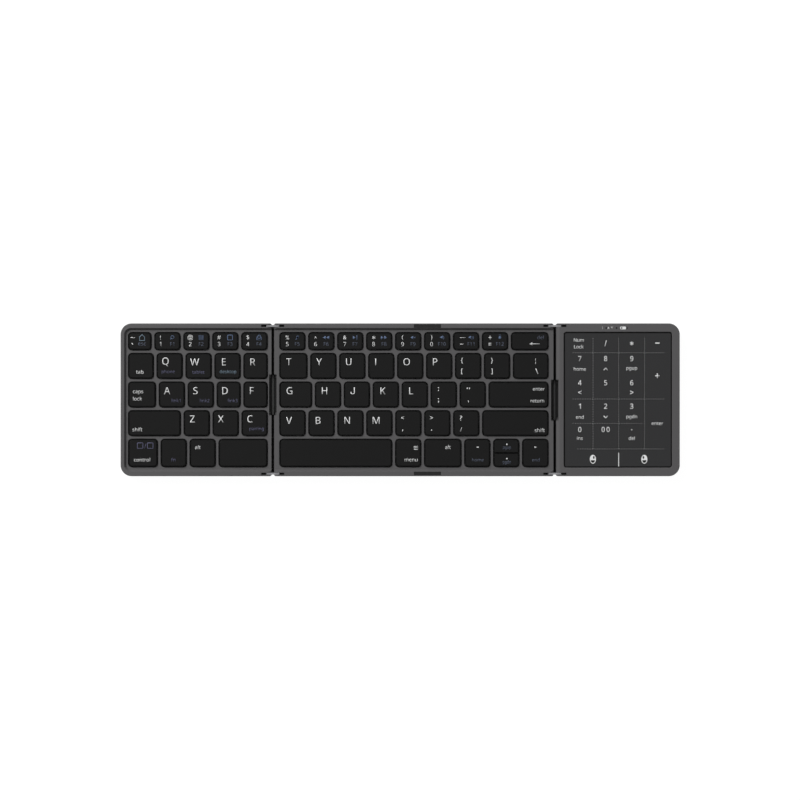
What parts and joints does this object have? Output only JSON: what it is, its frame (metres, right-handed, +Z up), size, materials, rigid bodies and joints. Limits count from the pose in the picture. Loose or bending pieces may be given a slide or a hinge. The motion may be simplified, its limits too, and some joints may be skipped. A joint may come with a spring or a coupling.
{
  "type": "folding keyboard",
  "caption": "Dark grey folding keyboard with key panels and a touch wing. The wings fold flat over the centre panel on double-pivot links.",
  "frame": {"origin": "bottom centre of the open keyboard, on the surface that its feet stand on", "axes": "+X to the right along the open panels, +Y away from the typist, +Z up"},
  "size_m": [0.3282, 0.0896, 0.0082],
  "materials": {
    "shell": "fine satin moulding",
    "caps": "matte, faint grain",
    "pad": "smooth matte",
    "link_steel": "stamped and brushed",
    "plate_steel": "plain sheet",
    "screw_steel": "plated",
    "rubber": "matte",
    "membrane": "black film with rubber domes",
    "scissor": "moulded",
    "magnet": "nickel plated",
    "board": "solder mask",
    "cell": "laminated foil pouch",
    "socket": "plated sheet",
    "light": "dark light pipe",
    "cover": "matte",
    "cable": "black cover film"
  },
  "bodies": {
    "center_panel": {"center_base_cover": "shell", "center_top_frame": "shell", "center_support_plate": "plate_steel", "center_membrane": "membrane", "center_scissors": "scissor", "center_rim_inlays": "rubber", "center_feet": "rubber", "center_screws": "screw_steel", "left_flat_cable": "cable", "right_flat_cable": "cable"},
    "left_links": {"left_hinge_links": "link_steel", "left_hinge_pins": "link_steel", "left_cable_cover": "cover"},
    "left_wing": {"left_base_cover": "shell", "left_top_frame": "shell", "left_support_plate": "plate_steel", "left_membrane": "membrane", "left_scissors": "scissor", "left_magnets": "magnet", "left_feet": "rubber", "left_screws": "screw_steel"},
    "right_links": {"right_hinge_links": "link_steel", "right_hinge_pins": "link_steel", "right_cable_cover": "cover"},
    "right_wing": {"right_base_cover": "shell", "right_top_frame": "shell", "touch_surface": "pad", "main_board": "board", "battery": "cell", "charging_socket": "socket", "status_lights": "light", "right_magnets": "magnet", "right_feet": "rubber", "right_screws": "screw_steel"},
    "left_digit_keys": {"left_digit_keys": "caps"},
    "left_upper_keys": {"left_upper_keys": "caps"},
    "left_home_keys": {"left_home_keys": "caps"},
    "left_lower_keys": {"left_lower_keys": "caps"},
    "tab_key": {"tab_key": "caps"},
    "caps_lock_key": {"caps_lock_key": "caps"},
    "left_shift_key": {"left_shift_key": "caps"},
    "control_key": {"control_key": "caps"},
    "function_key": {"function_key": "caps"},
    "left_alt_key": {"left_alt_key": "caps"},
    "left_space_key": {"left_space_key": "caps"},
    "center_digit_keys": {"center_digit_keys": "caps"},
    "center_upper_keys": {"center_upper_keys": "caps"},
    "center_home_keys": {"center_home_keys": "caps"},
    "center_lower_keys": {"center_lower_keys": "caps"},
    "backspace_key": {"backspace_key": "caps"},
    "backslash_key": {"backslash_key": "caps"},
    "enter_key": {"enter_key": "caps"},
    "right_shift_key": {"right_shift_key": "caps"},
    "space_bar_key": {"space_bar_key": "caps"},
    "menu_key": {"menu_key": "caps"},
    "right_alt_key": {"right_alt_key": "caps"},
    "arrow_left_key": {"arrow_left_key": "caps"},
    "arrow_up_key": {"arrow_up_key": "caps"},
    "arrow_down_key": {"arrow_down_key": "caps"},
    "arrow_right_key": {"arrow_right_key": "caps"}
  },
  "joints": [
    {"name": "left_link_fold", "type": "hinge", "parent": "center_panel", "child": "left_links", "pos_m": [-0.0716, 0, 0.0052], "axis": [0, 1, 0], "range_deg": [0, 90], "deforming": ["left_flat_cable"]},
    {"name": "left_wing_fold", "type": "hinge", "parent": "left_links", "child": "left_wing", "pos_m": [-0.078, 0, 0.0052], "axis": [0, 1, 0], "range_deg": [0, 90]},
    {"name": "right_link_fold", "type": "hinge", "parent": "center_panel", "child": "right_links", "pos_m": [0.0876, 0, 0.0052], "axis": [0, -1, 0], "range_deg": [0, 90], "deforming": ["right_flat_cable"]},
    {"name": "right_wing_fold", "type": "hinge", "parent": "right_links", "child": "right_wing", "pos_m": [0.094, 0, 0.0052], "axis": [0, -1, 0], "range_deg": [0, 90]},
    {"name": "left_digit_press", "type": "slide", "parent": "left_wing", "child": "left_digit_keys", "axis": [0, 0, -1], "range_m": [0, 0.0015], "stiffness_N_per_m": 1250, "springref_m": -0.0005},
    {"name": "left_upper_press", "type": "slide", "parent": "left_wing", "child": "left_upper_keys", "axis": [0, 0, -1], "range_m": [0, 0.0015], "stiffness_N_per_m": 1000, "springref_m": -0.0005},
    {"name": "left_home_press", "type": "slide", "parent": "left_wing", "child": "left_home_keys", "axis": [0, 0, -1], "range_m": [0, 0.0015], "stiffness_N_per_m": 1000, "springref_m": -0.0005},
    {"name": "left_lower_press", "type": "slide", "parent": "left_wing", "child": "left_lower_keys", "axis": [0, 0, -1], "range_m": [0, 0.0015], "stiffness_N_per_m": 750, "springref_m": -0.0005},
    {"name": "tab_press", "type": "slide", "parent": "left_wing", "child": "tab_key", "axis": [0, 0, -1], "range_m": [0, 0.0015], "stiffness_N_per_m": 250, "springref_m": -0.0005},
    {"name": "caps_lock_press", "type": "slide", "parent": "left_wing", "child": "caps_lock_key", "axis": [0, 0, -1], "range_m": [0, 0.0015], "stiffness_N_per_m": 250, "springref_m": -0.0005},
    {"name": "left_shift_press", "type": "slide", "parent": "left_wing", "child": "left_shift_key", "axis": [0, 0, -1], "range_m": [0, 0.0015], "stiffness_N_per_m": 250, "springref_m": -0.0005},
    {"name": "control_press", "type": "slide", "parent": "left_wing", "child": "control_key", "axis": [0, 0, -1], "range_m": [0, 0.0015], "stiffness_N_per_m": 250, "springref_m": -0.0005},
    {"name": "function_press", "type": "slide", "parent": "left_wing", "child": "function_key", "axis": [0, 0, -1], "range_m": [0, 0.0015], "stiffness_N_per_m": 250, "springref_m": -0.0005},
    {"name": "left_alt_press", "type": "slide", "parent": "left_wing", "child": "left_alt_key", "axis": [0, 0, -1], "range_m": [0, 0.0015], "stiffness_N_per_m": 250, "springref_m": -0.0005},
    {"name": "left_space_press", "type": "slide", "parent": "left_wing", "child": "left_space_key", "axis": [0, 0, -1], "range_m": [0, 0.0015], "stiffness_N_per_m": 250, "springref_m": -0.0005},
    {"name": "center_digit_press", "type": "slide", "parent": "center_panel", "child": "center_digit_keys", "axis": [0, 0, -1], "range_m": [0, 0.0015], "stiffness_N_per_m": 2000, "springref_m": -0.0005},
    {"name": "center_upper_press", "type": "slide", "parent": "center_panel", "child": "center_upper_keys", "axis": [0, 0, -1], "range_m": [0, 0.0015], "stiffness_N_per_m": 2000, "springref_m": -0.0005},
    {"name": "center_home_press", "type": "slide", "parent": "center_panel", "child": "center_home_keys", "axis": [0, 0, -1], "range_m": [0, 0.0015], "stiffness_N_per_m": 1750, "springref_m": -0.0005},
    {"name": "center_lower_press", "type": "slide", "parent": "center_panel", "child": "center_lower_keys", "axis": [0, 0, -1], "range_m": [0, 0.0015], "stiffness_N_per_m": 1750, "springref_m": -0.0005},
    {"name": "backspace_press", "type": "slide", "parent": "center_panel", "child": "backspace_key", "axis": [0, 0, -1], "range_m": [0, 0.0015], "stiffness_N_per_m": 250, "springref_m": -0.0005},
    {"name": "backslash_press", "type": "slide", "parent": "center_panel", "child": "backslash_key", "axis": [0, 0, -1], "range_m": [0, 0.0015], "stiffness_N_per_m": 250, "springref_m": -0.0005},
    {"name": "enter_press", "type": "slide", "parent": "center_panel", "child": "enter_key", "axis": [0, 0, -1], "range_m": [0, 0.0015], "stiffness_N_per_m": 250, "springref_m": -0.0005},
    {"name": "right_shift_press", "type": "slide", "parent": "center_panel", "child": "right_shift_key", "axis": [0, 0, -1], "range_m": [0, 0.0015], "stiffness_N_per_m": 250, "springref_m": -0.0005},
    {"name": "space_bar_press", "type": "slide", "parent": "center_panel", "child": "space_bar_key", "axis": [0, 0, -1], "range_m": [0, 0.0015], "stiffness_N_per_m": 250, "springref_m": -0.0005},
    {"name": "menu_press", "type": "slide", "parent": "center_panel", "child": "menu_key", "axis": [0, 0, -1], "range_m": [0, 0.0015], "stiffness_N_per_m": 250, "springref_m": -0.0005},
    {"name": "right_alt_press", "type": "slide", "parent": "center_panel", "child": "right_alt_key", "axis": [0, 0, -1], "range_m": [0, 0.0015], "stiffness_N_per_m": 250, "springref_m": -0.0005},
    {"name": "arrow_left_press", "type": "slide", "parent": "center_panel", "child": "arrow_left_key", "axis": [0, 0, -1], "range_m": [0, 0.0015], "stiffness_N_per_m": 250, "springref_m": -0.0005},
    {"name": "arrow_up_press", "type": "slide", "parent": "center_panel", "child": "arrow_up_key", "axis": [0, 0, -1], "range_m": [0, 0.0015], "stiffness_N_per_m": 250, "springref_m": -0.0005},
    {"name": "arrow_down_press", "type": "slide", "parent": "center_panel", "child": "arrow_down_key", "axis": [0, 0, -1], "range_m": [0, 0.0015], "stiffness_N_per_m": 250, "springref_m": -0.0005},
    {"name": "arrow_right_press", "type": "slide", "parent": "center_panel", "child": "arrow_right_key", "axis": [0, 0, -1], "range_m": [0, 0.0015], "stiffness_N_per_m": 250, "springref_m": -0.0005}
  ],
  "couplings": [
    {"joint": "left_wing_fold", "follows": "left_link_fold", "ratio": 1},
    {"joint": "right_wing_fold", "follows": "right_link_fold", "ratio": 1}
  ]
}
